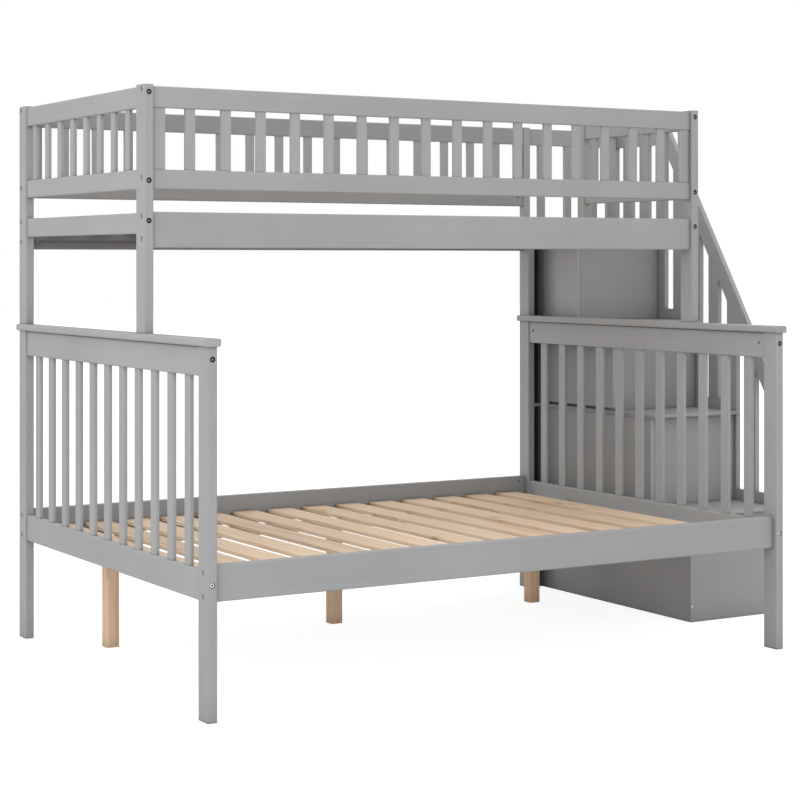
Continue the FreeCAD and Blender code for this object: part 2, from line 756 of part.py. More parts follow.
def build_handrail():
    """Raking handrail in two boards that meet on a flat joint over the second baluster,
    and mitred at its head to the level rail beside the landing."""
    butt = baluster_at(1)
    foot = "handrail_foot"
    lower = flat_piece("handrail_lower", [
        (butt, rake_low(butt)), (butt, JOINT_Z), (JOINT_TOP_Y, JOINT_Z),
        (foot, rake_top(foot)), (foot, rake_low(foot))])
    round_corner(lower, foot, rake_top(foot), "nose_round")
    round_corner(lower, foot, rake_low(foot), "heel_round")
    flat_piece("handrail_upper", [
        (JOINT_Y, JOINT_Z), (MITRE_Y, "guard_top_low"), ("handrail_head", "upper_top"),
        (JOINT_TOP_Y, JOINT_Z)])
    flat_piece("landing_side_rail", [
        (MITRE_Y, "guard_top_low"), ("landing_back", "guard_top_low"),
        ("landing_back", "upper_top"), ("handrail_head", "upper_top")])
    balusters = []
    for index in range(2 * STEPS):
        near = baluster_at(index)
        far = "(%s + baluster_wide)" % near
        foot = "(%s + curb_rise)" % tread_top(index // 2 + 1)
        head = [(far, rake_low(far)), (near, rake_low(near))]
        if index == 1:
            head = [(far, JOINT_Z), (near, JOINT_Z)]
        if index == 2 * STEPS - 3:
            head = [(far, "guard_top_low"), (MITRE_Y, "guard_top_low"), (near, rake_low(near))]
        if index > 2 * STEPS - 3:
            head = [(far, "guard_top_low"), (near, "guard_top_low")]
        balusters.append(flat_piece("stair_baluster", [(near, foot), (far, foot)] + head,
                                    node=False))
    group("stair_balusters", balusters)


def build_landing_guard():
    corner = "(face_out - corner_wide)"
    curb = board("landing_back_curb", ("stair_left", "landing_back", "landing"),
                 ("panel_thick + stair_clear", "landing_thick", "curb_rise"), "x", "slat_round",
                 node=False)
    top = board("landing_back_top", ("bed_long", "landing_back", "guard_top_low"),
                ("%s - bed_long" % corner, "landing_thick", "guard_top_deep"), "x", "slat_round",
                node=False)
    group("landing_back_rails", [curb, top])
    slats = board("landing_slat", ("stair_left + landing_slat_first", "landing_back", "curb_top"),
                  ("landing_slat_wide", "landing_thick", "guard_top_low - curb_top"),
                  "z", "spindle_round", node=False)
    repeat(slats, slats.Tip, "x", "landing_slat_count", "landing_slat_pitch")
    newel = board("landing_corner_post", (corner, "landing_back", "curb_top"),
                  ("corner_wide", "landing_thick", "upper_top - curb_top"),
                  "z", "spindle_round", node=False)
    group("landing_back_uprights", [slats, newel])


def build_joining_strips():
    """Strips that close the gap between the back right posts and the staircase."""
    strips = []
    for level in range(1, STEPS + 1):
        low = strip_low(level)
        strip = board("joining_strip", ("bed_long", "strip_at", low),
                      ("stair_gap", "strip_deep", strip_tall(level)), "z", "slat_round", node=False)
        screw_holes(strip, "x0", "0", screw_pair(level, "strip_deep / 2", low), "stair_gap")
        strips.append(strip)
    group("joining_strips", strips)


def pin_row(body, axis, start, forward, centers, diameter, length):
    """Round pins side by side, each from the plane at start along one axis."""
    sketch = new_sketch(body, axis, start)
    draw_circles(sketch, centers, diameter)
    grow(body, sketch, axis, length, forward)


def build_bolts_and_nuts():
    """Joint bolts with sunk heads, and the barrel nuts in the rails that they pull on."""
    low_y = [LOW_SIDE_LINE, "bed_wide - (%s)" % LOW_SIDE_LINE]
    high_y = ["upper_front + " + HIGH_SIDE_LINE, "bed_wide - (%s)" % HIGH_SIDE_LINE]
    side = [(y, z) for y in low_y for z in LOW_SIDE_BOLTS]
    side += [(y, z) for y in high_y for z in HIGH_SIDE_BOLTS + GUARD_SIDE_BOLTS]
    left, right = "post_thick / 2", "bed_long - post_thick / 2"
    low_front = [(x, z) for x in (left, right) for z in LOW_END_BOLTS]
    high_front = [(x, z) for x in (left, right) for z in HIGH_END_BOLT + GUARD_END_BOLTS]
    high_back = [(left, z) for z in HIGH_END_BOLT + GUARD_END_BOLTS]
    high_back.append((right, HIGH_END_BOLT[0]))

    bolts = new_body("joint_bolts")
    for axis, face, forward, grip, centers in (
            ("x", "0", True, "post_thick", side),
            ("x", "bed_long", False, "post_thick", side),
            ("y", "0", True, "post_deep", low_front),
            ("y", "upper_front", True, "post_deep", high_front),
            ("y", "bed_wide", False, "post_deep", low_front + high_back)):
        sign = "+" if forward else "-"
        outer = "%s %s head_recess" % (face, sign)
        under = "%s %s (head_recess + head_thick)" % (face, sign)
        pin_row(bolts, axis, outer, forward, centers, "bolt_head", "head_thick")
        pin_row(bolts, axis, under, forward, centers, "bolt_shank",
                "%s - head_recess - head_thick + bolt_reach" % grip)
        sketch = new_sketch(bolts, axis, outer)
        draw_circles(sketch, centers, "socket_size")
        carve(bolts, sketch, axis, "socket_deep", forward)

    nuts = new_body("barrel_nuts")
    near_x = "post_thick + nut_inset"
    side_x = [near_x, "bed_long - (%s)" % near_x]
    for line, heights in ((low_y[0], LOW_SIDE_BOLTS), (low_y[1], LOW_SIDE_BOLTS),
                          (high_y[0], HIGH_SIDE_BOLTS + GUARD_SIDE_BOLTS),
                          (high_y[1], HIGH_SIDE_BOLTS + GUARD_SIDE_BOLTS)):
        pin_row(nuts, "y", "%s - nut_long / 2" % line, True,
                [(x, z) for x in side_x for z in heights], "nut_size", "nut_long")
    low_end = [("post_deep + nut_inset", z) for z in LOW_END_BOLTS]
    low_end += [("bed_wide - post_deep - nut_inset", z) for z in LOW_END_BOLTS]
    near_end = [("upper_front + post_deep + nut_inset", z) for z in HIGH_END_BOLT + GUARD_END_BOLTS]
    far = "bed_wide - post_deep - nut_inset"
    far_left = [(far, z) for z in HIGH_END_BOLT + GUARD_END_BOLTS]
    pin_row(nuts, "x", left + " - nut_long / 2", True, low_end + near_end + far_left,
            "nut_size", "nut_long")
    pin_row(nuts, "x", right + " - nut_long / 2", True,
            low_end + near_end + [(far, HIGH_END_BOLT[0])], "nut_size", "nut_long")
    for axis, length, centers in (("x", "bed_long", side), ("y", "bed_wide", low_front + high_front)):
        sketch = new_sketch(nuts, axis)
        draw_circles(sketch, centers, "bolt_shank + 2 * thread_play")
        carve(nuts, sketch, axis, length)


def build_dowels_and_screws():
    dowels = new_body("post_dowels")
    places = dowel_pair("upper_front + post_deep / 2") + dowel_pair("bed_wide - post_deep / 2")
    pin_row(dowels, "z", "post_low_top - dowel_reach", True,
            [(x, y) for x in ("post_thick / 2", "bed_long - post_thick / 2") for y in places],
            "dowel_size", "cap_thick + 2 * dowel_reach - dowel_play")
    screws = new_body("stair_screws")
    edge = "stair_left + panel_thick / 2"
    spots = [(edge, "screw_edge"), (edge, "first_box_top - screw_edge")]
    pin_row(screws, "y", "stair_front", True, spots, "screw_head", "screw_head_deep")
    pin_row(screws, "y", "stair_front + screw_head_deep", True, spots, "screw_shank",
            "panel_thick - screw_head_deep + screw_reach - screw_play")
    spots = []
    for level in range(1, STEPS + 1):
        spots += screw_pair(level, "strip_line", "0")
    pin_row(screws, "x", "stair_inside", False, spots, "screw_head", "screw_head_deep")
    pin_row(screws, "x", "stair_inside - screw_head_deep", False, spots, "screw_shank",
            "panel_thick - screw_head_deep + stair_gap + screw_reach - screw_play")


build_posts()
build_lower_bunk()
build_bed_bases()
build_upper_bunk()
build_upper_ends()
build_stair_boxes()
build_stair_face()
build_handrail()
build_landing_guard()
build_joining_strips()
build_bolts_and_nuts()
build_dowels_and_screws()
doc.recompute()

faults = [item.Name for item in doc.Objects if {"Invalid", "Error"} & set(item.State)]
faults += [node.Label for node in NODES if node.Shape.isNull() or not node.Shape.isValid()]
if faults:
    raise RuntimeError("failed: " + ", ".join(faults))

os.makedirs("parts", exist_ok=True)
for node in NODES:
    node.Shape.exportStep("parts/%s.step" % node.Label)
    print("%-28s solids %3d  volume %10.0f" % (node.Label, len(node.Shape.Solids), node.Shape.Volume))
print("nodes", len(NODES))
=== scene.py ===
import math

import bmesh
import bpy
from mathutils import Matrix, Vector


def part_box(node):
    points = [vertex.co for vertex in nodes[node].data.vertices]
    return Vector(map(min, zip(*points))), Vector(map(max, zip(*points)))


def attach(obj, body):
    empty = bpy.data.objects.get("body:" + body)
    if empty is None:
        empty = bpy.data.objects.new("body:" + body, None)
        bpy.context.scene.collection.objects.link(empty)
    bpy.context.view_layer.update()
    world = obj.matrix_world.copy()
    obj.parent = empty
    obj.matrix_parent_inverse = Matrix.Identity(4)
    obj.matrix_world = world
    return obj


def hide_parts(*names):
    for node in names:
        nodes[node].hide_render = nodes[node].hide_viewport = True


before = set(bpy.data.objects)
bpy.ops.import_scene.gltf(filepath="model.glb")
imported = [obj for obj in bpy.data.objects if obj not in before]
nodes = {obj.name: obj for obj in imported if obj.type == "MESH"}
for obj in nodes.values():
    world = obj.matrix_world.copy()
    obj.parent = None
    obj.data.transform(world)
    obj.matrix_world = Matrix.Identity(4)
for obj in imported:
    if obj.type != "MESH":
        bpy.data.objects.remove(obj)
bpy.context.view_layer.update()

# ---------------------------------------------------------------- node helpers


class Graph:
    """Short calls for building one material's or the world's node tree."""

    def __init__(self, tree):
        self.tree = tree
        tree.nodes.clear()

    def add(self, kind, settings=None, **values):
        item = self.tree.nodes.new(kind)
        for key, value in (settings or {}).items():
            setattr(item, key, value)
        for key, value in values.items():
            self.put(item.inputs[key.replace("_", " ")], value)
        return item

    def put(self, socket, value):
        if isinstance(value, bpy.types.NodeSocket):
            self.tree.links.new(value, socket)
        else:
            socket.default_value = value

    def math(self, operation, *values):
        item = self.add("ShaderNodeMath", {"operation": operation})
        for socket, value in zip(item.inputs, values):
            self.put(socket, value)
        return item.outputs[0]

    def noise(self, vector, scale, detail=3.0, roughness=0.5, distortion=0.0):
        item = self.add("ShaderNodeTexNoise", Vector=vector, Scale=scale, Detail=detail,
                        Roughness=roughness, Distortion=distortion)
        return item.outputs["Fac"]

    def ramp(self, factor, *stops):
        item = self.add("ShaderNodeValToRGB", Fac=factor)
        band = item.color_ramp
        while len(band.elements) < len(stops):
            band.elements.new(0.5)
        for element, (place, color) in zip(band.elements, stops):
            element.position = place
            element.color = (*color, 1.0)
        return item.outputs["Color"]

    def mix(self, factor, a, b, blend="MIX"):
        item = self.add("ShaderNodeMix", {"data_type": "RGBA", "blend_type": blend})
        self.put(item.inputs[0], factor)
        self.put(item.inputs[6], a if isinstance(a, bpy.types.NodeSocket) else (*a, 1.0))
        self.put(item.inputs[7], b if isinstance(b, bpy.types.NodeSocket) else (*b, 1.0))
        return item.outputs[2]

    def remap(self, value, low, high, start, end):
        item = self.add("ShaderNodeMapRange", Value=value, From_Min=low, From_Max=high,
                        To_Min=start, To_Max=end)
        return item.outputs[0]

    def bump(self, height, strength, distance, normal=None):
        item = self.add("ShaderNodeBump", Height=height, Strength=strength, Distance=distance)
        if normal is not None:
            self.put(item.inputs["Normal"], normal)
        return item.outputs["Normal"]


def new_material(name):
    material = bpy.data.materials.new(name)
    material.use_nodes = True
    return material, Graph(material.node_tree)


def finish_surface(graph, color, roughness, normal, metallic=0.0, specular=0.5):
    """Principled shader whose constant values stand on its own sockets."""
    shader = graph.add("ShaderNodeBsdfPrincipled", Metallic=metallic)
    shader.inputs["Specular IOR Level"].default_value = specular
    graph.put(shader.inputs["Base Color"], color)
    graph.put(shader.inputs["Roughness"], roughness)
    graph.put(shader.inputs["Normal"], normal)
    out = graph.add("ShaderNodeOutputMaterial")
    graph.put(out.inputs["Surface"], shader.outputs[0])


def along(graph, axis, tilt=0.0):
    """Object coordinates turned so that Z runs along the grain."""
    place = graph.add("ShaderNodeTexCoord").outputs["Object"]
    turn = {"x": (0.0, math.pi / 2, 0.0), "y": (math.pi / 2, 0.0, 0.0), "z": (tilt, 0.0, 0.0)}
    item = graph.add("ShaderNodeMapping", Vector=place)
    item.inputs["Rotation"].default_value = turn[axis]
    return item.outputs["Vector"]


def stretched(graph, vector, across, length):
    """Coordinates scaled by one share across the grain and another along it."""
    item = graph.add("ShaderNodeMapping", Vector=vector)
    item.inputs["Scale"].default_value = (across, across, length)
    return item.outputs["Vector"]


def object_axes(graph):
    """The X, Y and Z of a point on the object, as outputs by name."""
    place = graph.add("ShaderNodeTexCoord").outputs["Object"]
    return graph.add("ShaderNodeSeparateXYZ", Vector=place).outputs


def facing_axes(graph):
    """The X, Y and Z of the way a surface faces, as outputs by name."""
    outward = graph.add("ShaderNodeNewGeometry").outputs["Normal"]
    return graph.add("ShaderNodeSeparateXYZ", Vector=outward).outputs


def shade_corners(graph, tone, distance, share, color):
    """Painted shade: tone mixed by a share towards a darker colour where another surface is near, as
    in corners, creases and hollows.
    """
    open_sky = graph.add("ShaderNodeAmbientOcclusion", {"samples": 4}, Distance=distance)
    closed = graph.math("SUBTRACT", 1.0, open_sky.outputs["AO"])
    return graph.mix(graph.math("MULTIPLY", closed, share), tone, color)


def edge_mask(graph, radius):
    """One on the arrises of a board and nought on its flats."""
    soft = graph.add("ShaderNodeBevel", {"samples": 4}, Radius=radius).outputs["Normal"]
    flat = graph.add("ShaderNodeNewGeometry").outputs["Normal"]
    dot = graph.add("ShaderNodeVectorMath", {"operation": "DOT_PRODUCT"})
    graph.put(dot.inputs[0], soft)
    graph.put(dot.inputs[1], flat)
    return graph.math("SUBTRACT", 1.0, dot.outputs["Value"]), soft


# ---------------------------------------------------------------- paint

BLACK = (0.0, 0.0, 0.0)
PAINT = (0.388, 0.386, 0.385)
PAINT_LOW = (0.365, 0.363, 0.362)
PAINT_HIGH = (0.411, 0.409, 0.407)
PAINT_WORN_AND_LIT = (0.55, 0.55, 0.54)
PAINT_LIT = (0.56, 0.56, 0.555)
PAINT_SHADED = (0.06, 0.06, 0.06)
CORNER_SHADE = (0.17, 0.17, 0.17)
SEAM_SHADE = (0.07, 0.07, 0.07)
JOINT_SHADE = (0.012, 0.012, 0.012)

# Places on the object, in metres: heights of the treads, and spans along Y or Z.
FIRST_TREAD = round(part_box("tread_1")[1].z, 6)
STAIR_RISE = round(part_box("tread_2")[1].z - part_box("tread_1")[1].z, 6)
STAIR_FOOT = FIRST_TREAD - STAIR_RISE
# Sizes of the painted shade line at the foot of each level, of the painted shade beside the posts,
# and of the painted light above the first tread.
JOINT_SHADE_TALL = 0.008
JOINT_SHADE_SOFT = 0.004
JOINT_SHADE_FADE = (0.02, 0.36)
POST_SHADE = (0.58, 0.68)
LIT_SOFT = 0.025


def side_shade(graph, tone):
    """Stair sides: a dark line of painted shade at the foot of each level but the first, painted
    shade beside the posts, and painted light that makes the part above the first tread paler."""
    axes = object_axes(graph)
    above = graph.math("FLOORED_MODULO", graph.math("SUBTRACT", axes["Z"], STAIR_FOOT), STAIR_RISE)
    # Painted shade: a dark line at the foot of each level but the first, deeper towards the posts.
    line = graph.math("MULTIPLY",
                      graph.remap(above, JOINT_SHADE_TALL, JOINT_SHADE_TALL + JOINT_SHADE_SOFT, 1.0, 0.0),
                      graph.math("GREATER_THAN", axes["Z"], STAIR_FOOT + STAIR_RISE / 2))
    fade = graph.remap(axes["Y"], *JOINT_SHADE_FADE, 0.15, 0.93)
    beside = graph.remap(axes["Y"], *POST_SHADE, 0.0, 0.50)
    # Painted light: the part above the first tread is paler.
    painted_light = graph.remap(axes["Z"], FIRST_TREAD, FIRST_TREAD + LIT_SOFT, 0.0, 0.30)
    tone = graph.mix(painted_light, tone, PAINT_LIT)
    tone = graph.mix(beside, tone, PAINT_SHADED)
    return graph.mix(graph.math("MULTIPLY", line, fade), tone, JOINT_SHADE)


def paint_coat(graph, place, fibre, grain):
    """Colour of the paint, a little cloudy, with the pine's fibre and streaks in it."""
    cloud = graph.noise(place, 2.3, 3.0, 0.55)
    streak = graph.noise(stretched(graph, place, 34.0, 1.1), 1.0, 3.0, 0.5, 0.4)
    fibre_tone = graph.ramp(fibre, (0.36, (0.25, 0.25, 0.25)), (0.62, (0.43, 0.43, 0.428)))
    streak_tone = graph.ramp(streak, (0.4, (0.31, 0.31, 0.311)), (0.6, (0.42, 0.42, 0.418)))
    tone = graph.ramp(cloud, (0.3, PAINT_LOW), (0.5, PAINT), (0.72, PAINT_HIGH))
    tone = graph.mix(0.06 * grain, tone, fibre_tone)
    return graph.mix(0.08 * grain, tone, streak_tone)


def worn_and_lit_edges(graph, place, tone, arris):
    """Paint lighter in places along the arrises: partly worn thin, partly a painted highlight where
    the edges catch the light.
    """
    worn = graph.noise(place, 46.0, 4.0, 0.65)
    worn_and_lit = graph.math("MULTIPLY", graph.math("MULTIPLY", arris, 2.4),
                     graph.math("SUBTRACT", worn, 0.28))
    worn_and_lit = graph.add("ShaderNodeClamp", Value=worn_and_lit).outputs[0]
    return graph.mix(graph.math("MULTIPLY", worn_and_lit, 0.35), tone, PAINT_WORN_AND_LIT)


def paint(name, axis, grain=1.0, tilt=0.0, inside=0.0, under=0.0, joint=False):
    """Satin grey paint over pine, whose grain and pores still show through.

    A board behind the bunk gets painted shade, darker on its inner face by the share given as inside,
    and on its underside by the share given as under. With joint, the stair sides get the painted
    light and shade of side_shade."""
    material, g = new_material(name)
    place = along(g, axis, tilt)
    fibre = g.noise(stretched(g, place, 150.0, 5.0), 1.0, 4.0, 0.6)
    pores = g.noise(stretched(g, place, 700.0, 22.0), 1.0, 2.0, 0.5)
    spray = g.noise(place, 900.0, 1.0)
    arris, soft = edge_mask(g, 0.0022)
    tone = paint_coat(g, place, fibre, grain)
    # Lighter arrises: partly wear, partly painted highlight.
    tone = worn_and_lit_edges(g, place, tone, arris)
    # Painted shade in corners and hollows, up to a tenth of a metre deep.
    tone = shade_corners(g, tone, 0.10, 0.50, CORNER_SHADE)
    # Painted shade in narrow seams, creases and holes.
    tone = shade_corners(g, tone, 0.012, 0.60, SEAM_SHADE)
    # Painted shade on the inner faces and undersides of boards behind the bunk.
    for side, share in (("Y", inside), ("Z", under)):
        if share:
            turned = g.remap(facing_axes(g)[side], -1.0, -0.5, share, 0.0)
            tone = g.mix(turned, tone, BLACK)
    if joint:
        tone = side_shade(g, tone)
    sheen = g.math("ADD", 0.40, g.math("MULTIPLY", g.noise(place, 14.0, 3.0), 0.16))
    normal = g.bump(fibre, 0.10 * grain, 0.0012, soft)
    normal = g.bump(pores, 0.10 * grain, 0.0005, normal)
    normal = g.bump(spray, 0.06, 0.0004, normal)
    finish_surface(g, tone, sheen, normal, specular=0.42)
    return material


# ---------------------------------------------------------------- pine

EARLY_WOOD = (0.910, 0.705, 0.515)
MIDDLE_WOOD = (0.870, 0.655, 0.460)
LATE_WOOD = (0.730, 0.505, 0.310)
FIBRE_DARK = (0.66, 0.47, 0.30)
FIBRE_PALE = (0.97, 0.80, 0.62)
KNOT_HEART = (0.27, 0.135, 0.06)
KNOT_RIM = (0.60, 0.38, 0.19)
WOOD_WORN_AND_LIT = (0.84, 0.67, 0.49)
WOOD_SIDE_SHADE = (0.36, 0.22, 0.13)
WOOD_CORNER_SHADE = (0.30, 0.19, 0.11)
WOOD_BOUNCE = (0.52, 0.50, 0.48)


def multiply_add(graph, value, factor, addend):
    """Vector maths: value times factor plus addend."""
    item = graph.add("ShaderNodeVectorMath", {"operation": "MULTIPLY_ADD"})
    for socket, part in zip(item.inputs, (value, factor, addend)):
        graph.put(socket, part)
    return item.outputs["Vector"]


def growth_rings(graph, cut):
    """Rings of a bent trunk, which show as long stripes on a board sawn along it."""
    warp = graph.noise(stretched(graph, cut, 7.0, 0.9), 1.0, 2.0, 0.5)
    both = graph.add("ShaderNodeCombineXYZ", X=warp, Y=warp).outputs[0]
    bent = multiply_add(graph, both, (0.075, 0.075, 0.0), cut)
    wave = graph.add("ShaderNodeTexWave",
                     {"wave_type": "RINGS", "rings_direction": "Z", "wave_profile": "SAW"},
                     Vector=stretched(graph, bent, 1.0, 0.05), Scale=17.0, Distortion=2.2,
                     Detail=2.0, Detail_Scale=1.3)
    return wave.outputs["Fac"]


def pine(name, axis, pitch=0.0, first=0.0, warm=1.0, sides=0.0):
    """Planed, unpainted pine with growth rings, fine fibre and a few knots.

    Boards in a row along X, told apart by their pitch and the start of the first, each get
    their own cut of timber. Upright faces get painted shade, darker by the share given as sides."""
    material, g = new_material(name)
    place = along(g, axis)
    axes = object_axes(g)
    if pitch:
        step = g.math("DIVIDE", g.math("SUBTRACT", axes["X"], first), pitch)
    else:
        step = g.math("MULTIPLY", axes["Y"], 2.0)
    dice = g.add("ShaderNodeTexWhiteNoise", {"noise_dimensions": "1D"}, W=g.math("FLOOR", step))
    cut = multiply_add(g, dice.outputs["Color"], (3.0, 3.0, 9.0), place)
    rings = growth_rings(g, cut)
    fibre = g.noise(stretched(g, cut, 320.0, 7.0), 1.0, 3.0, 0.6)
    tone = g.ramp(rings, (0.0, EARLY_WOOD), (0.72, MIDDLE_WOOD), (0.95, LATE_WOOD), (1.0, EARLY_WOOD))
    tone = g.mix(0.20, tone, g.ramp(fibre, (0.35, FIBRE_DARK), (0.66, FIBRE_PALE)))
    whole = g.math("ADD", 0.90, g.math("MULTIPLY", dice.outputs["Value"], 0.17))
    tint = g.add("ShaderNodeCombineColor", Red=whole, Green=g.math("DIVIDE", whole, warm),
                 Blue=g.math("DIVIDE", whole, warm ** 1.6)).outputs[0]
    tone = g.mix(1.0, tone, tint, "MULTIPLY")
    knots = g.add("ShaderNodeTexVoronoi", Vector=stretched(g, cut, 8.0, 3.2), Scale=1.0,
                  Randomness=1.0).outputs["Distance"]
    tone = g.mix(g.remap(knots, 0.055, 0.105, 0.70, 0.0), tone, KNOT_HEART)
    tone = g.mix(g.remap(knots, 0.09, 0.22, 0.30, 0.0), tone, KNOT_RIM)
    arris, soft = edge_mask(g, 0.0015)
    # Lighter arrises: partly wear, partly a painted highlight where the edges catch the light.
    tone = g.mix(g.math("MULTIPLY", arris, 0.6), tone, WOOD_WORN_AND_LIT)
    # Painted shade on upright faces.
    upright = g.remap(g.math("ABSOLUTE", facing_axes(g)["Z"]), 0.3, 0.8, sides, 0.0)
    tone = g.mix(upright, tone, WOOD_SIDE_SHADE)
    # Painted shade in the gaps and corners between boards.
    tone = shade_corners(g, tone, 0.05, 0.65, WOOD_CORNER_SHADE)
    bounce = g.add("ShaderNodeLightPath").outputs["Is Diffuse Ray"]
    tone = g.mix(g.math("MULTIPLY", bounce, 0.55), tone, WOOD_BOUNCE)
    rough = g.math("ADD", 0.56, g.math("MULTIPLY", fibre, 0.16))
    normal = g.bump(fibre, 0.16, 0.0008, soft)
    normal = g.bump(rings, 0.08, 0.0006, normal)
    finish_surface(g, tone, rough, normal, specular=0.30)
    return material


# ---------------------------------------------------------------- strips and steel


def shadow_gap(name, start, end):
    """Strip painted near black as the shade of a deep gap, darkest against the post."""
    material, g = new_material(name)
    place = g.add("ShaderNodeTexCoord").outputs["Object"]
    across = g.remap(object_axes(g)["X"], start, end, 0.0, 1.0)
    fibre = g.noise(stretched(g, place, 150.0, 5.0), 1.0, 4.0, 0.6)
    # Painted shade: near black against the post, lighter away from it.
    tone = g.ramp(across, (0.0, (0.010, 0.010, 0.010)), (0.28, (0.016, 0.016, 0.016)),
                  (0.5, (0.070, 0.070, 0.070)), (1.0, (0.150, 0.150, 0.150)))
    finish_surface(g, tone, 0.7, g.bump(fibre, 0.1, 0.001), specular=0.1)
    return material


def steel(name, color, rough, metallic=1.0):
    """Plated steel with fine turning marks and a little staining."""
    material, g = new_material(name)
    place = g.add("ShaderNodeTexCoord").outputs["Object"]
    marks = g.noise(place, 1800.0, 2.0, 0.6)
    stain = g.noise(place, 260.0, 3.0, 0.6)
    dark = tuple(value * 0.75 for value in color)
    tone = g.ramp(stain, (0.34, dark), (0.62, color))
    sheen = g.math("ADD", rough, g.math("MULTIPLY", marks, 0.14))
    normal = g.bump(marks, 0.12, 0.0001)
    finish_surface(g, tone, sheen, normal, metallic=metallic)
    return material


# ---------------------------------------------------------------- materials in use

HANDRAIL_SLOPE = 1.542
SLAT_COUNT = 14
SLAT_WIDE = 0.090
LEG_COUNT = 3
LEG_SIDE = 0.046
LEG_CLEAR = 0.2


def row_pitch(box, count, wide):
    """Step along X from one board of a row to the next."""
    return round((box[1].x - box[0].x - wide) / (count - 1), 6)


PAINTS = {axis: paint("grey_paint_" + axis, axis) for axis in "xyz"}
PANELS = {axis: paint("grey_panel_" + axis, axis, grain=0.35) for axis in "xyz"}
RAKED = paint("grey_paint_raked", "z", tilt=math.atan(1 / HANDRAIL_SLOPE))
SIDE_PANELS = paint("grey_side_panels", "z", grain=0.35, joint=True)
BACK_GUARDS = paint("grey_back_guards", "x", inside=0.16)
BACK_RAIL = paint("grey_back_rail", "x", inside=0.30)
LEDGES = paint("grey_ledges", "x", inside=0.42, under=0.50)
# Dark steel; in the cross recesses of the screws it serves as painted shade.
DARK_STEEL_AND_RECESS_SHADE = steel("dark_steel_and_recess_shade", (0.45, 0.45, 0.46), 0.26)
# Bright zinc steel whose light tone partly stands in for light caught by heads, as painted light.
LIT_ZINC_STEEL = steel("zinc_steel_painted_light", (0.97, 0.97, 0.96), 0.20, metallic=0.4)
NUT_STEEL = steel("zinc_nut_steel", (0.42, 0.42, 0.41), 0.40, metallic=0.1)
# Near-black steel as painted shade on the bolts in shade and in the sockets of the lit ones.
STEEL_SHADE = steel("steel_painted_shade", (0.060, 0.060, 0.064), 0.42)
SLAT_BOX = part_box("lower_base_slats")
SLAT_PITCH = row_pitch(SLAT_BOX, SLAT_COUNT, SLAT_WIDE)
SLAT_FIRST = SLAT_BOX[0].x - (SLAT_PITCH - SLAT_WIDE) / 2
PINE_ROW = pine("natural_pine_slats", "y", SLAT_PITCH, SLAT_FIRST, sides=0.15)
PINE_X = pine("natural_pine_x", "x")
LEG_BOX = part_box("support_legs")
LEG_PITCH = row_pitch(LEG_BOX, LEG_COUNT, LEG_SIDE)
PINE_Z = pine("natural_pine_z", "z", LEG_PITCH, LEG_BOX[0].x - LEG_CLEAR, warm=1.06)
BEECH = pine("beech_dowels", "z")
STRIP_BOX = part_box("joining_strips")
SHADOW_GAP = shadow_gap("strip_painted_gap_shade", STRIP_BOX[0].x, STRIP_BOX[1].x)

ALONG_X = ("lower_side_rail", "upper_side_rail", "guard_top_rail_front", "guard_top_rail_back",
           "guard_bottom_rail_front", "guard_bottom_rail_back", "landing_back_rails")
ALONG_Y = ("end_bottom_rail", "end_top_rail", "end_cap", "guard_top_rail_left",
           "guard_top_rail_right", "guard_bottom_rail_left", "guard_bottom_rail_right",
           "upper_end_rails", "stair_face_rails", "landing_side_rail")
PANEL_X = ("tread", "stair_base_board")
PANEL_Z = ("stair_front_panel", "stair_back_panel", "stair_risers_and_dividers")
SPECIAL = {"lower_base_slats": PINE_ROW, "upper_base_slats": PINE_ROW, "support_beam": PINE_X,
           "support_legs": PINE_Z, "post_dowels": BEECH,
           "joint_bolts": DARK_STEEL_AND_RECESS_SHADE, "barrel_nuts": NUT_STEEL, "stair_screws": LIT_ZINC_STEEL,
           "handrail_lower": RAKED, "handrail_upper": RAKED, "joining_strips": SHADOW_GAP,
           "stair_side_panels": SIDE_PANELS, "slat_ledges": LEDGES,
           "upper_side_rail_back": BACK_RAIL, "guard_top_rail_back": BACK_GUARDS,
           "guard_bottom_rail_back": BACK_GUARDS}


def surface_for(name):
    if name in SPECIAL:
        return SPECIAL[name]
    if name.startswith(PANEL_X):
        return PANELS["x"]
    if name.startswith(PANEL_Z):
        return PANELS["z"]
    if name.startswith(ALONG_X):
        return PAINTS["x"]
    if name.startswith(ALONG_Y):
        return PAINTS["y"]
    return PAINTS["z"]


for name, item in nodes.items():
    item.data.materials.clear()
    item.data.materials.append(surface_for(name))

# ---------------------------------------------------------------- bolts and screws

SIDES = 48
LOW_ON_FRONT = 0.5


def solids_of(name):
    """Vertices of each separate solid of a node."""
    bm = bmesh.new()
    bm.from_mesh(nodes[name].data)
    bmesh.ops.remove_doubles(bm, verts=bm.verts, dist=1e-6)
    groups = []
    seen = set()
    for first in bm.verts:
        if first in seen:
            continue
        seen.add(first)
        waiting = [first]
        found = []
        while waiting:
            vert = waiting.pop()
            found.append(nodes[name].matrix_world @ vert.co)
            for edge in vert.link_edges:
                other = edge.other_vert(vert)
                if other not in seen:
                    seen.add(other)
                    waiting.append(other)
        groups.append(found)
    bm.free()
    return groups


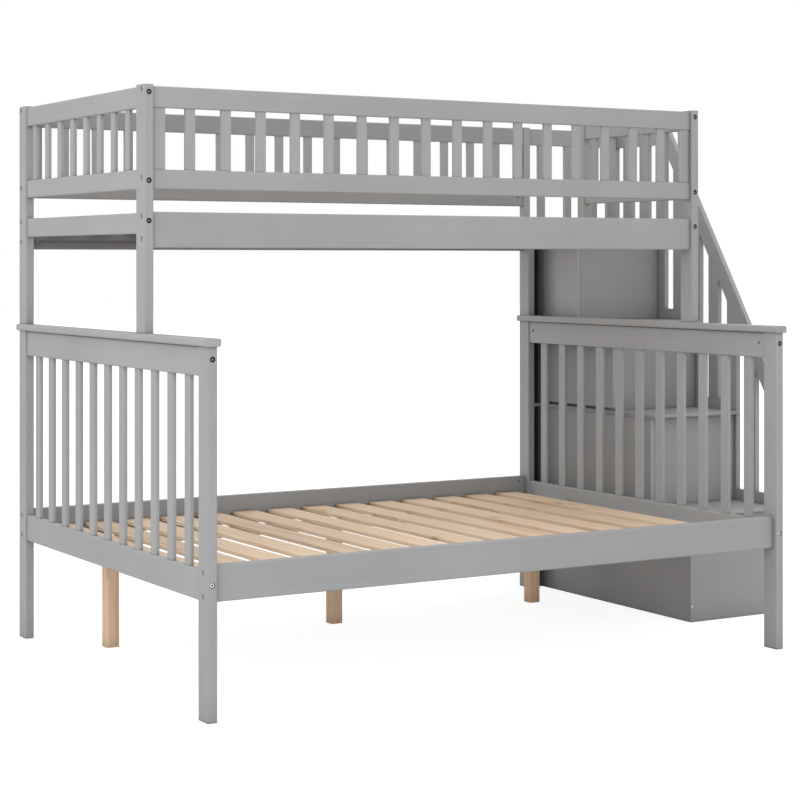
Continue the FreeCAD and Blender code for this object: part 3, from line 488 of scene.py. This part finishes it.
def measure_pin(points):
    """Turn of a headed pin, with Z out of its head, and its radii and length."""
    low = [min(point[axis] for point in points) for axis in range(3)]
    high = [max(point[axis] for point in points) for axis in range(3)]
    axis = max(range(3), key=lambda item: high[item] - low[item])
    length = high[axis] - low[axis]
    middle = Vector([(a + b) / 2 for a, b in zip(low, high)])

    def reach(end):
        near = [point for point in points if abs(point[axis] - end) < length / 1000]
        return max(math.sqrt(sum((point[i] - middle[i]) ** 2 for i in range(3) if i != axis))
                   for point in near)

    ends = {low[axis]: reach(low[axis]), high[axis]: reach(high[axis])}
    head, tip = sorted(ends, key=ends.get, reverse=True)
    out = Vector((0.0, 0.0, 0.0))
    out[axis] = 1.0 if head > tip else -1.0
    middle[axis] = head
    turn = Matrix.Translation(middle) @ out.to_track_quat("Z", "Y").to_matrix().to_4x4()
    return turn, ends[head], ends[tip], length


def round_ring(radius):
    return lambda angle: radius


def hex_ring(flat):
    """Hexagon, given by half the distance across its flats."""
    return lambda angle: flat / math.cos((angle + math.pi / 6) % (math.pi / 3) - math.pi / 6)


def cross_ring(reach, web):
    """Four-armed cross of a screwdriver's recess."""
    return lambda angle: web + (reach - web) * abs(math.cos(2 * angle)) ** 7


def lathe(bm, turn, rings):
    """Skin over rings of SIDES points, each a shape, a height and the slot of its band."""
    loops = []
    for shape, height, slot in rings:
        if shape is None:
            loops.append([bm.verts.new(turn @ Vector((0.0, 0.0, height)))])
            continue
        loop = []
        for step in range(SIDES):
            angle = 2 * math.pi * step / SIDES
            radius = shape(angle)
            loop.append(bm.verts.new(turn @ Vector((radius * math.cos(angle),
                                                    radius * math.sin(angle), height))))
        loops.append(loop)
    for (near, far), ring in zip(zip(loops, loops[1:]), rings[1:]):
        for step in range(SIDES):
            after = (step + 1) % SIDES
            corners = [near[step % len(near)], near[after % len(near)],
                       far[after % len(far)], far[step % len(far)]]
            face = bm.faces.new(list(dict.fromkeys(corners)))
            face.material_index = ring[2]
            face.smooth = True


def bolt_rings(head, shank, length):
    """Low round head with a hexagon socket, then the neck, thread and chamfered tip."""
    socket, deep, thick = 0.0025, 0.0022, 0.004
    rings = [(None, -deep, 1), (hex_ring(socket), -deep, 1), (hex_ring(socket), -0.0003, 1),
             (hex_ring(socket * 1.06), -0.0001, 1), (round_ring(head * 0.74), -0.0001, 0),
             (round_ring(head * 0.90), -0.0005, 0), (round_ring(head * 0.985), -0.0014, 0),
             (round_ring(head), -0.0022, 0), (round_ring(head), -thick, 0),
             (round_ring(shank), -thick, 0)]
    pitch = 0.001
    threaded = 0.022
    turns = int(threaded / pitch)
    for step in range(turns):
        start = -length + threaded - step * pitch
        rings.append((round_ring(shank), start - 0.1 * pitch, 0))
        rings.append((round_ring(shank * 0.88), start - 0.5 * pitch, 0))
    rings += [(round_ring(shank * 0.8), -length, 0), (None, -length, 0)]
    return rings


def screw_rings(head, shank, length):
    """Flat head with a cross recess."""
    thick, deep = 0.002, 0.0014
    return [(None, -deep, 1), (cross_ring(0.0011, 0.0004), -deep, 1),
            (cross_ring(0.0026, 0.0007), -0.0001, 1), (round_ring(head * 0.9), -0.0001, 0),
            (round_ring(head), -0.0004, 0), (round_ring(head), -thick, 0),
            (round_ring(shank), -thick, 0), (round_ring(shank), -length + 0.003, 0),
            (round_ring(shank * 0.3), -length, 0), (None, -length, 0)]


def one_kind(turn):
    """Pins that are all alike."""
    return 0


def bolt_kind(turn):
    """Lit and shaded copies of one bolt: painted light, bright, along X and low on the front where
    the bolts catch the light, and painted shade, near black, elsewhere.
    """
    along_x = abs(turn[0][2]) > 0.5
    return 1 if along_x or turn.translation.z < LOW_ON_FRONT else 0


def build_pins(name, node, rings, materials, kind=one_kind):
    """One piece with every pin of a node, each at the place of its solid.

    The materials come in pairs, one for the metal and one for the recess of each kind."""
    bm = bmesh.new()
    for points in solids_of(node):
        turn, head, shank, length = measure_pin(points)
        first = 2 * kind(turn)
        lathe(bm, turn, [(shape, height, first + tone)
                         for shape, height, tone in rings(head, shank, length)])
    bmesh.ops.recalc_face_normals(bm, faces=bm.faces)
    mesh = bpy.data.meshes.new(name)
    bm.to_mesh(mesh)
    bm.free()
    for material in materials:
        mesh.materials.append(material)
    piece = bpy.data.objects.new(name, mesh)
    bpy.context.scene.collection.objects.link(piece)
    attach(piece, "root")
    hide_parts(node)


# Bolts in painted shade are near black with a lighter socket; bolts in painted light are bright with
# a socket in painted shade.
build_pins("socket_bolts", "joint_bolts", bolt_rings,
           (STEEL_SHADE, DARK_STEEL_AND_RECESS_SHADE, LIT_ZINC_STEEL, STEEL_SHADE), bolt_kind)
# The cross recess of each screw is darker steel, as painted shade.
build_pins("cross_screws", "stair_screws", screw_rings, (LIT_ZINC_STEEL, DARK_STEEL_AND_RECESS_SHADE))

# ---------------------------------------------------------------- stage and light


def sun(name, towards, strength, spread):
    """Wide, even light from above, whose spread is in degrees."""
    data = bpy.data.lights.new(name, "SUN")
    data.energy = strength
    data.angle = math.radians(spread)
    lamp = bpy.data.objects.new(name, data)
    lamp.rotation_euler = Vector(towards).to_track_quat("-Z", "Y").to_euler()
    bpy.context.scene.collection.objects.link(lamp)


def soft_box(name, place, aim, side, power):
    """Square lamp near the front left, whose light falls off towards the right and back."""
    data = bpy.data.lights.new(name, "AREA")
    data.shape = "SQUARE"
    data.size = side
    data.energy = power
    lamp = bpy.data.objects.new(name, data)
    lamp.location = place
    lamp.rotation_euler = (Vector(aim) - Vector(place)).to_track_quat("-Z", "Y").to_euler()
    bpy.context.scene.collection.objects.link(lamp)


sun("top", (0.10, 0.12, -1.0), 0.41, 50)
soft_box("front_box", (-3.2, -3.6, 2.3), (-0.4, 0.0, 0.8), 2.6, 32.0)
soft_box("left_box", (-3.6, -0.6, 1.8), (-1.0, 0.0, 0.8), 2.0, 6.5)


def studio_world():
    """Soft light from all round, which the camera and glossy surfaces see as white."""
    world = bpy.data.worlds.new("studio")
    bpy.context.scene.world = world
    world.use_nodes = True
    g = Graph(world.node_tree)
    rays = g.add("ShaderNodeLightPath").outputs
    seen = g.math("MAXIMUM", rays["Is Camera Ray"], rays["Is Glossy Ray"])
    seen = g.math("MAXIMUM", seen, rays["Is Transmission Ray"])
    light = g.add("ShaderNodeBackground", Color=(0.98, 0.988, 1.0, 1.0), Strength=0.88)
    white = g.add("ShaderNodeBackground", Color=(1.0, 1.0, 1.0, 1.0), Strength=1.0)
    both = g.add("ShaderNodeMixShader", Fac=seen)
    g.put(both.inputs[1], light.outputs[0])
    g.put(both.inputs[2], white.outputs[0])
    out = g.add("ShaderNodeOutputWorld")
    g.put(out.inputs["Surface"], both.outputs[0])


FLOOR_REACH = 40.0


def pale_floor():
    """White floor that keeps the object's shadow."""
    material, g = new_material("pale_floor")
    seen = g.add("ShaderNodeLightPath").outputs["Is Camera Ray"]
    plain = g.add("ShaderNodeBsdfDiffuse", Color=(0.72, 0.723, 0.728, 1.0))
    shade = g.add("ShaderNodeBsdfDiffuse", Color=(0.36, 0.36, 0.36, 1.0))
    glow = g.add("ShaderNodeEmission", Color=(1.0, 1.0, 1.0, 1.0), Strength=0.83)
    lit = g.add("ShaderNodeAddShader")
    g.put(lit.inputs[0], shade.outputs[0])
    g.put(lit.inputs[1], glow.outputs[0])
    both = g.add("ShaderNodeMixShader", Fac=seen)
    g.put(both.inputs[1], plain.outputs[0])
    g.put(both.inputs[2], lit.outputs[0])
    out = g.add("ShaderNodeOutputMaterial")
    g.put(out.inputs["Surface"], both.outputs[0])
    mesh = bpy.data.meshes.new("floor")
    reach = FLOOR_REACH
    corners = [(-reach, -reach, 0), (reach, -reach, 0), (reach, reach, 0), (-reach, reach, 0)]
    mesh.from_pydata([Vector(corner) for corner in corners], [], [(0, 1, 2, 3)])
    mesh.materials.append(material)
    floor = bpy.data.objects.new("floor", mesh)
    bpy.context.scene.collection.objects.link(floor)


studio_world()
pale_floor()


# Lengths in the picture are in pixels, the camera's place is in metres.
PICTURE_SIDE = 800
FOCAL_LENGTH = 2008.82
AXIS_ACROSS = 441.05
AXIS_DOWN = 259.85
SENSOR = 36.0
CAMERA_PLACE = (-3.4732, -5.6476, 1.2409)
CAMERA_TURN = 31.319


def place_camera():
    """Level camera at the front left, shifted so that upright edges stay parallel."""
    data = bpy.data.cameras.new("camera")
    data.sensor_width = SENSOR
    data.lens = SENSOR * FOCAL_LENGTH / PICTURE_SIDE
    data.shift_x = -(AXIS_ACROSS - PICTURE_SIDE / 2) / PICTURE_SIDE
    data.shift_y = -(PICTURE_SIDE / 2 - AXIS_DOWN) / PICTURE_SIDE
    data.clip_end = 200.0
    camera = bpy.data.objects.new("camera", data)
    camera.location = CAMERA_PLACE
    camera.rotation_euler = (math.radians(90), 0.0, -math.radians(CAMERA_TURN))
    bpy.context.scene.collection.objects.link(camera)
    bpy.context.scene.camera = camera


place_camera()
bpy.context.scene.view_settings.view_transform = "Standard"


def plain(box):
    """A box as lists of numbers."""
    return [[round(value, 6) for value in corner] for corner in box]
